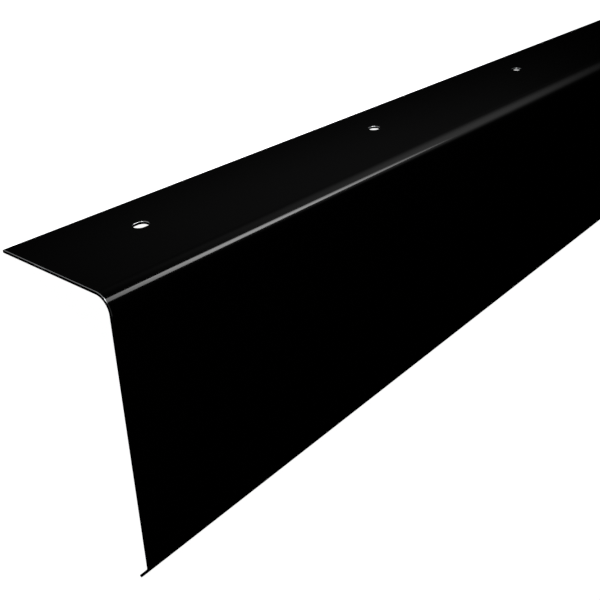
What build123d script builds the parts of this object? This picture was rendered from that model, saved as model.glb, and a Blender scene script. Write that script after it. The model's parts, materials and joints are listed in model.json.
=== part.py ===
from build123d import *

import os

# Roof edge flashing: one long coated sheet, folded into a slotted flange that lies on the roof, a deep apron that
# hangs down the fascia, and a short foot that turns back in under the fascia's lower edge.
# It is drawn as it is fixed, with X along the stock, Y from the apron's face in towards the roof and Z up, and the
# flange's and apron's outer faces would meet at the origin. At the end it is turned to the way it rests unheld.
# All lengths are millimetres and all angles degrees.

# Stock
stock_length = 2000.0
sheet = 1.6  # over the coat on both faces of 1.5 stock

# Section, over the outer faces and from corner to corner as if the bends were sharp
flange_width = 80.0
apron_height = 161.0
foot_width = 12.0
roof_angle = 91.0  # between flange and apron, so that the flange follows a roof's slight fall
foot_turn = 40.0  # from the apron's plane in towards the building

# Inside radii of the two bends
roof_bend = 8.0
foot_bend = 2.0

# Fixing slots, their long way along the stock
slot_count = 10
slot_width = 7.0
slot_travel = 2.0  # straight stretch between the round ends
slot_setback = 30.0  # centre line to the flange's back edge
slot_end_margin = 62.0  # first and last centres to the stock's ends

# The flat stock is sheared and punched from what becomes its outer face. That draws the outer edges down to a
# radius and leaves the inner ones crisp.
shear_roll = 0.4
slot_roll = 0.5

# The three flats are walked from the flange's back edge to the foot's tip, with the building on the left.
flange_run = Vector(0, -1, 0)
apron_run = flange_run.rotate(Axis.X, 180 - roof_angle)
foot_run = apron_run.rotate(Axis.X, foot_turn)

knee = Vector(0, 0, 0)
back_edge = knee - flange_run * flange_width
foot = knee + apron_run * apron_height
tip = foot + foot_run * foot_width


def inner_edge(outer_edge, run):
    """The crisp edge one sheet inside an outer edge, square to its run."""
    return outer_edge + run.rotate(Axis.X, 90) * sheet


def sheet_section():
    """The section: its outer line of three flats and two bends, one sheet thick towards the building."""
    outer_line = FilletPolyline(back_edge, knee, foot, tip, radius=(roof_bend + sheet, foot_bend + sheet))
    return make_face(offset(outer_line, amount=sheet, side=Side.RIGHT, closed=True))


def folded_sheet():
    """The folded stock before punching, with the outer edges of its long sides and its ends rolled."""
    stock = extrude(sheet_section(), amount=stock_length, dir=(1, 0, 0))
    long_edges = stock.edges().filter_by(Axis.X)
    back_roll = long_edges.sort_by(Axis((0, 0, 0), (0, 1, 1)))[-1]
    tip_roll = long_edges.sort_by(Axis.Z)[0]
    # The outer edges of an end are tangent to one another, so the roll runs on from the foremost to the rest.
    end_rolls = stock.faces().filter_by(Axis.X).edges().sort_by(Axis.Y)[:2]
    return fillet([back_roll, tip_roll, *end_rolls], shear_roll)


def punch_slots(stock):
    """The stock with its row of slots cut through the flange and their outer rims rolled."""
    pitch = (stock_length - 2 * slot_end_margin) / (slot_count - 1)
    slot_line = flange_width - slot_setback
    punch = extrude(SlotCenterToCenter(slot_travel, slot_width), amount=2 * sheet, both=True)
    for index in range(slot_count):
        stock -= Pos(slot_end_margin + index * pitch, slot_line, 0) * punch
    flange_top = stock.faces().filter_by(Axis.Z).sort_by(Axis.Z)[-1]
    rims = [edge for wire in flange_top.inner_wires() for edge in wire.edges()]
    return fillet(rims, slot_roll)


def rest_turn():
    """The turn about X that sets the two crisp edges it rests on level."""
    span = inner_edge(back_edge, flange_run) - inner_edge(tip, foot_run)
    return span.get_signed_angle(Vector(0, 1, 0), Vector(1, 0, 0))


def set_down(part):
    """The part resting like a tent on its two free edges, centred over the origin on the ground plane."""
    turned = Rot(rest_turn(), 0, 0) * part
    box = turned.bounding_box()
    return Pos(-box.center().X, -box.center().Y, -box.min.Z) * turned


edge_flashing = set_down(punch_slots(folded_sheet()))

os.makedirs("parts", exist_ok=True)
export_step(edge_flashing, "parts/edge_flashing.step")
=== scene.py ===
import json
import math

import bpy
from mathutils import Matrix, Vector


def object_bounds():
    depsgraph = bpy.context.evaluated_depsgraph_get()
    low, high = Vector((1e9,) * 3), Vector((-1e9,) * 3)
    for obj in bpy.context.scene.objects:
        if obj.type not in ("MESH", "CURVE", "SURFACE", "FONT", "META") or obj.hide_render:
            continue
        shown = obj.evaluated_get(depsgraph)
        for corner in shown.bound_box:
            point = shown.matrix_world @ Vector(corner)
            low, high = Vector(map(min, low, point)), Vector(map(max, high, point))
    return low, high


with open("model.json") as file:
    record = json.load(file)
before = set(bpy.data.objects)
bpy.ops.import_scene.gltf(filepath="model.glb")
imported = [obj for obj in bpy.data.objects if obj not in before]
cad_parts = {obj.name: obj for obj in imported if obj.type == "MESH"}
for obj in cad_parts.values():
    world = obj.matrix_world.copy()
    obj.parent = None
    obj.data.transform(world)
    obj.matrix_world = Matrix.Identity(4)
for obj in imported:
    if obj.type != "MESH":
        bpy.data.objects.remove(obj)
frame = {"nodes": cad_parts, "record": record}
cad_low, cad_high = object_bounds()

# The photograph shows the flashing as it is fixed: flange level, apron hanging, the roof behind it.
# It is stored lying on its two free edges, so everything that the photograph places is placed in these three
# directions, measured from the centre of the first slot on the flange's outer face.
mounts = {mount["name"]: mount for mount in frame["record"]["mounts"]}
first_slot = Vector(mounts["slot_01"]["pos_m"])
along = Vector((1, 0, 0))
above = Vector(mounts["slot_01"]["axis"]).normalized()
roofward = above.cross(along)

# Camera, as fitted to the flashing's outline
CAMERA_FROM_SLOT = (-0.2603, -0.3231, 0.1741)
CAMERA_TURN = math.radians(39.83)  # from along the stock towards the roof
CAMERA_DIP = math.radians(28.37)  # below the flange's level
CAMERA_ROLL = math.radians(0.86)
CAMERA_NEAR = 0.01  # nothing nearer than this is drawn
LENS_MM = 51.35
SENSOR_MM = 36.0

# A pair that gives a fade, an edge, a spread or a rise below is where light starts and where it is full.

# Main softbox, mirrored as the bright stripe along the bend
KEY_FROM_SLOT = (0.341, -0.281, 0.541)
KEY_FACING = (-0.129, 0.93, 0.343)
KEY_SPIN = -21.8
KEY_SIZE = (0.41, 0.97)
KEY_WATTS = 7.5
KEY_NEAR_FADE = (0.01, 0.45)  # shares of its length from the end nearest the camera
KEY_NEAR_SLANT = -0.32  # how far that fade leans, per share of its height
KEY_FAR_FADE = (1.0, 0.66)

# Smaller softbox in front of the near end, mirrored where that end's rolled edge crosses the bend
SIDE_FROM_SLOT = (-0.214, -0.37, 0.71)
SIDE_FACING = (0.19, 0.4, -0.89)
SIDE_SIZE = (0.5, 0.2)
SIDE_WATTS = 1.8

# Far glow, mirrored as the soft grey sheen further along the bend
GLOW_TOWARDS = (0.815, -0.336, 0.472)
GLOW_LONG = (0.045, 0.848, 0.528)
GLOW_REACH = 0.505  # from its middle to where it has fallen to about a third, the long way
GLOW_WIDTH = 0.189  # and the short way
GLOW_STRENGTH = 0.409
GLOW_EDGE_TOWARDS = (-0.6, 1, 0)
GLOW_EDGE = (-1.06, -0.85)

# Dim ceiling behind, which keeps the flange from going quite black
CEILING_TOWARDS = (0.79, 0.613, 0)
CEILING_SPREAD = (0.74, 1.54)
CEILING_RISE = (0.051, 1.24)
CEILING_EDGE_TOWARDS = (0, -0.42, 1)
CEILING_EDGE = (0.006, 0.1)

# How near to straight along the stock the glow and the ceiling reach
FAR_EDGE = (0.954, 0.86)

# Soft light beyond the near end, along the rolled edge there
BEYOND_TOWARDS = (0, 0.5, 0.866)
BEYOND_EDGE = (0.1, 0.6)
BEYOND_SPREAD = (0.2, -0.2)
BEYOND_STRENGTH = 0.45

# Soft light in front of the apron, to the side of what the photograph shows mirrored
FRONT_EDGE = (0.1, -0.8)
FRONT_SPREAD = (0.48, 0.25)
FRONT_RISE = (-0.46, -0.38)
FRONT_STRENGTH = 0.45

# Floor and background, white to the eye
WHITE = (1, 1, 1, 1)
FLOOR_SIZE = 40.0
FLOOR_COLOUR = (0.9, 0.9, 0.9, 1)
FLOOR_GLOW = 1.0

# Coat and bare metal, lengths in metres
COAT_COLOUR = (0.0004, 0.0004, 0.00045, 1)
COAT_ROUGHNESS = 0.1
PEEL_PITCH = 0.0016
PEEL_DEPTH = 0.000002
PEEL_DETAIL = 1.0
BARE_COLOUR = (0.45, 0.46, 0.47, 1)
BARE_ROUGHNESS = 0.2
EDGE_ROLL = 0.0004
SLOT_ROLL = 0.0005
WORN_FROM = 0.97  # how square to the outer face the rolls are where the wear starts
EDGE_WORN_TO = 0.8  # how square to the end face they are where it stops again
EDGE_WORN_DEPTH = 0.0036  # below the flange's face; the end of the apron keeps its coat
SLOT_REACH = 0.0041  # from a slot's centre line to the outside of its rolled rim


def direction(offset):
    """The stored direction of one given in the photograph's three directions."""
    return along * offset[0] + roofward * offset[1] + above * offset[2]


def place(offset):
    """The stored place of a point given as (along, roofward, above) metres from the first slot."""
    return first_slot + direction(offset)


def photo_camera():
    """The camera at the photograph's viewing angle."""
    ahead = direction((
        math.cos(CAMERA_TURN) * math.cos(CAMERA_DIP),
        math.sin(CAMERA_TURN) * math.cos(CAMERA_DIP),
        -math.sin(CAMERA_DIP),
    ))
    level = direction((math.sin(CAMERA_TURN), -math.cos(CAMERA_TURN), 0))
    down = ahead.cross(level)
    right = level * math.cos(CAMERA_ROLL) + down * math.sin(CAMERA_ROLL)
    data = bpy.data.cameras.new("camera")
    data.sensor_width = SENSOR_MM
    data.lens = LENS_MM
    data.clip_start = CAMERA_NEAR
    camera = bpy.data.objects.new("camera", data)
    bpy.context.collection.objects.link(camera)
    axes = Matrix((right, ahead.cross(right) * -1, ahead * -1)).transposed()
    camera.matrix_world = Matrix.Translation(place(CAMERA_FROM_SLOT)) @ axes.to_4x4()
    bpy.context.scene.camera = camera


class Graph:
    """Short ways to build a node tree."""

    def __init__(self, owner):
        owner.use_nodes = True
        self.nodes = owner.node_tree.nodes
        self.links = owner.node_tree.links

    def add(self, kind, inputs=(), **settings):
        """A new node with its settings made and its inputs linked or set."""
        node = self.nodes.new(kind)
        for name, value in settings.items():
            setattr(node, name, value)
        for key, value in dict(inputs).items():
            self.feed(node.inputs[key], value)
        return node

    def feed(self, socket, value):
        """Links an output to an input, or sets the input to a value."""
        if isinstance(value, bpy.types.NodeSocket):
            self.links.new(value, socket)
        else:
            socket.default_value = value

    def maths(self, operation, first, second=0.0):
        """The result of one sum on sockets or numbers."""
        return self.add("ShaderNodeMath", {0: first, 1: second}, operation=operation).outputs[0]

    def product(self, first, *others):
        """All the values multiplied together."""
        for other in others:
            first = self.maths("MULTIPLY", first, other)
        return first

    def dot(self, vector, fixed):
        """The part of a vector that lies along a fixed direction."""
        node = self.add("ShaderNodeVectorMath", {0: vector, 1: tuple(fixed)}, operation="DOT_PRODUCT")
        return node.outputs["Value"]

    def ramp(self, value, start, end, kind="SMOOTHSTEP"):
        """Nought before the start and one past the end, with a smooth rise between."""
        inputs = {"Value": value, "From Min": start, "From Max": end}
        return self.add("ShaderNodeMapRange", inputs, interpolation_type=kind).outputs["Result"]

    def straight_ramp(self, value, start, end):
        """The same with a straight rise."""
        return self.ramp(value, start, end, "LINEAR")


def softbox(name, centre, facing, size, watts, spin=0.0):
    """A rectangular light, its place and facing in the photograph's directions."""
    data = bpy.data.lights.new(name, "AREA")
    data.shape = "RECTANGLE"
    data.size, data.size_y = size
    data.energy = watts
    light = bpy.data.objects.new(name, data)
    bpy.context.collection.objects.link(light)
    out = direction(facing).normalized() * -1
    side = (along - out * along.dot(out)).normalized()
    axes = Matrix((side, out.cross(side), out)).transposed() @ Matrix.Rotation(math.radians(spin), 3, "Z")
    light.matrix_world = Matrix.Translation(place(centre)) @ axes.to_4x4()
    return light


def fade_ends(light):
    """Lets the main softbox come up slowly from its near end and fall off at its far one."""
    graph = Graph(light.data)
    spot = graph.add("ShaderNodeNewGeometry").outputs["Parametric"]
    near = graph.straight_ramp(graph.dot(spot, (1, KEY_NEAR_SLANT, 0)), *KEY_NEAR_FADE)
    far = graph.straight_ramp(graph.dot(spot, (1, 0, 0)), *KEY_FAR_FADE)
    graph.feed(graph.nodes["Emission"].inputs["Strength"], graph.product(near, far))


def far_glow(graph, way):
    """A long soft bell of light, cut off towards the floor."""
    broad = direction(GLOW_LONG)
    narrow = broad.cross(direction(GLOW_TOWARDS)).normalized()
    reach = graph.maths("DIVIDE", graph.dot(way, broad), GLOW_REACH)
    width = graph.maths("DIVIDE", graph.dot(way, narrow), GLOW_WIDTH)
    spread = graph.maths("ADD", graph.product(reach, reach), graph.product(width, width))
    bell = graph.maths("POWER", math.exp(-1), spread)
    ahead = graph.maths("GREATER_THAN", graph.dot(way, direction(GLOW_TOWARDS)), 0.0)
    edge = graph.ramp(graph.dot(way, direction(GLOW_EDGE_TOWARDS)), *GLOW_EDGE)
    return graph.product(bell, ahead, GLOW_STRENGTH, edge)


def dim_ceiling(graph, way):
    """Light that rises with height and falls off to the sides and over the roof."""
    spread = graph.ramp(graph.dot(way, direction(CEILING_TOWARDS)), *CEILING_SPREAD)
    rise = graph.ramp(graph.dot(way, above), *CEILING_RISE)
    edge = graph.ramp(graph.dot(way, direction(CEILING_EDGE_TOWARDS)), *CEILING_EDGE)
    return graph.product(spread, rise, edge)


def beyond_end(graph, way):
    """Even light from beyond the near end, high up."""
    spread = graph.ramp(graph.dot(way, along), *BEYOND_SPREAD)
    edge = graph.ramp(graph.dot(way, direction(BEYOND_TOWARDS)), *BEYOND_EDGE)
    return graph.product(spread, edge, BEYOND_STRENGTH)


def front_light(graph, way):
    """Even light from in front, which the apron mirrors when it is seen from its own side."""
    spread = graph.ramp(graph.dot(way, along), *FRONT_SPREAD)
    edge = graph.ramp(graph.dot(way, roofward), *FRONT_EDGE)
    rise = graph.ramp(graph.dot(way, above), *FRONT_RISE)
    return graph.product(spread, edge, rise, FRONT_STRENGTH)


def surround():
    """White to the eye, while the gloss mirrors the dim studio round the lights."""
    world = bpy.data.worlds.new("surround")
    bpy.context.scene.world = world
    graph = Graph(world)
    way = graph.add("ShaderNodeTexCoord").outputs["Generated"]
    ahead = graph.maths("ADD", far_glow(graph, way), dim_ceiling(graph, way))
    ahead = graph.product(ahead, graph.ramp(graph.dot(way, along), *FAR_EDGE))
    aside = graph.maths("ADD", beyond_end(graph, way), front_light(graph, way))
    mirrored = graph.maths("ADD", ahead, aside)
    seen = graph.add("ShaderNodeLightPath").outputs["Is Camera Ray"]
    background = graph.nodes["Background"]
    background.inputs["Color"].default_value = WHITE
    graph.feed(background.inputs["Strength"], graph.maths("MAXIMUM", seen, mirrored))
    world.cycles_visibility.diffuse = False


def floor():
    """Pale plain floor."""
    bpy.ops.mesh.primitive_plane_add(size=FLOOR_SIZE, location=(0, 0, 0))
    slab = bpy.context.object
    slab.name = "floor"
    material = bpy.data.materials.new("floor")
    material.use_nodes = True
    shader = material.node_tree.nodes["Principled BSDF"]
    shader.inputs["Base Color"].default_value = FLOOR_COLOUR
    shader.inputs["Roughness"].default_value = 1.0
    shader.inputs["Specular IOR Level"].default_value = 0.0
    shader.inputs["Emission Color"].default_value = WHITE
    shader.inputs["Emission Strength"].default_value = FLOOR_GLOW
    slab.data.materials.append(material)
    slab.visible_glossy = False
    slab.visible_diffuse = False


def worn_edges(graph, spot):
    """One where the shear and the punch rolled an outer edge through the coat, and nought elsewhere."""
    normal = graph.add("ShaderNodeNewGeometry").outputs["Normal"]
    places = {0: spot, 1: tuple(first_slot)}
    from_slot = graph.add("ShaderNodeVectorMath", places, operation="SUBTRACT").outputs[0]
    height = graph.dot(from_slot, above)

    to_end = graph.maths("SUBTRACT", cad_high[0], graph.maths("ABSOLUTE", graph.dot(spot, along)))
    at_end = graph.maths("LESS_THAN", to_end, EDGE_ROLL)
    off_end_face = graph.maths("LESS_THAN", graph.maths("ABSOLUTE", graph.dot(normal, along)), EDGE_WORN_TO)
    near_flange = graph.maths("GREATER_THAN", height, -EDGE_WORN_DEPTH)
    on_end_roll = graph.product(at_end, off_end_face, near_flange)

    across = graph.maths("ABSOLUTE", graph.dot(from_slot, roofward))
    in_slot_row = graph.maths("LESS_THAN", across, SLOT_REACH)
    shallow = graph.maths("GREATER_THAN", height, -SLOT_ROLL)
    off_flange = graph.maths("LESS_THAN", graph.dot(normal, above), WORN_FROM)
    on_slot_roll = graph.product(in_slot_row, shallow, off_flange)
    return graph.maths("MAXIMUM", on_end_roll, on_slot_roll)


def coat_material():
    """Black coat with a faint orange peel, and the bare metal under it where the edges are worn."""
    material = bpy.data.materials.new("black_coat")
    graph = Graph(material)
    coat = graph.nodes["Principled BSDF"]
    coat.inputs["Base Color"].default_value = COAT_COLOUR
    coat.inputs["Roughness"].default_value = COAT_ROUGHNESS
    spot = graph.add("ShaderNodeTexCoord").outputs["Object"]
    peel = graph.add("ShaderNodeTexNoise", {"Vector": spot, "Scale": 1 / PEEL_PITCH, "Detail": PEEL_DETAIL})
    bump = graph.add("ShaderNodeBump", {"Height": peel.outputs[0], "Distance": PEEL_DEPTH})
    graph.feed(coat.inputs["Normal"], bump.outputs["Normal"])

    metal = {"Base Color": BARE_COLOUR, "Roughness": BARE_ROUGHNESS, "Metallic": 1}
    bare = graph.add("ShaderNodeBsdfPrincipled", metal)
    worn = worn_edges(graph, spot)
    mix = graph.add("ShaderNodeMixShader", {0: worn, 1: coat.outputs[0], 2: bare.outputs[0]})
    graph.feed(graph.nodes["Material Output"].inputs["Surface"], mix.outputs[0])
    return material


photo_camera()
floor()
surround()
fade_ends(softbox("key", KEY_FROM_SLOT, KEY_FACING, KEY_SIZE, KEY_WATTS, KEY_SPIN))
softbox("side", SIDE_FROM_SLOT, SIDE_FACING, SIDE_SIZE, SIDE_WATTS)
bpy.context.scene.view_settings.view_transform = "Standard"

sheet = frame["nodes"]["edge_flashing"]
sheet.data.materials.clear()
sheet.data.materials.append(coat_material())
